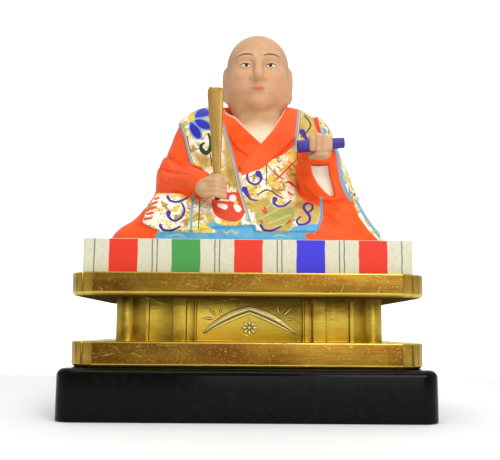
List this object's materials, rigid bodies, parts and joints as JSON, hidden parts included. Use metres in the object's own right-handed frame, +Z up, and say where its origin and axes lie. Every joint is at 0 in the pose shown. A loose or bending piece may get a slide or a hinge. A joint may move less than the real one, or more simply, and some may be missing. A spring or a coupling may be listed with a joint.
{
  "type": "nichiren figure",
  "caption": "Small seated monk in painted robes and a stole, holding a flat baton and a rolled scroll, on a striped mat over a gilt and lacquered dais.",
  "frame": {"origin": "centre of the dais's underside", "axes": "+Z up, the figure faces -Y, +X is the viewer's right"},
  "size_m": [0.125, 0.1, 0.1496],
  "materials": {
    "black_lacquer": "polished black lacquer over wood",
    "gold_leaf": "worn and creased gold leaf over lacquered wood",
    "mat_paint": "off-white paint with red, green and blue stripes on the edge",
    "figure_paint": "painted orange-red robe, brocade stole and flesh colour",
    "baton_gold": "dull olive-gold paint",
    "scroll_paint": "violet-blue paint"
  },
  "bodies": {
    "root": {"lacquer_base": "black_lacquer", "lower_gilt_tier": "gold_leaf", "waist": "gold_leaf", "upper_gilt_tier": "gold_leaf", "striped_mat": "mat_paint", "figure": "figure_paint", "baton": "baton_gold", "scroll": "scroll_paint"}
  },
  "joints": []
}
